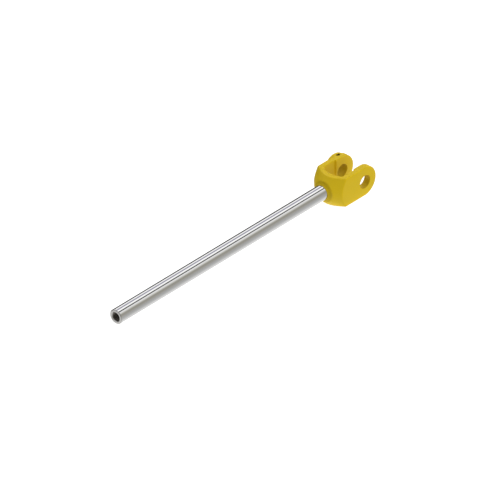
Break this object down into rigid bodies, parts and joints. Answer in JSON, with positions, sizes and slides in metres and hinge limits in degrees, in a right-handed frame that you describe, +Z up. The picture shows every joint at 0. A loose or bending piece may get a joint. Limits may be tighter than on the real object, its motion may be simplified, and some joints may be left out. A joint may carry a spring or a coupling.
{
  "type": "cylinder rod with fork clevis",
  "caption": "Chromed hydraulic cylinder rod with a tapped free end and a welded yellow fork clevis, pin-bored, with a pin-lock boss on one ear.",
  "frame": {"origin": "where the pin bore's axis meets the rod's axis", "axes": "+X along the rod and out of the fork's mouth, +Y along the pin bore towards the ear with the lock boss, +Z up"},
  "size_m": [0.905, 0.1055, 0.082],
  "materials": {
    "hard_chrome": "ground and polished hard chrome",
    "yellow_paint": "satin machinery paint over a casting",
    "weld_paint": "satin machinery paint over a weld"
  },
  "bodies": {
    "root": {"piston_rod": "hard_chrome", "clevis": "yellow_paint", "weld_bead": "weld_paint"}
  },
  "joints": []
}
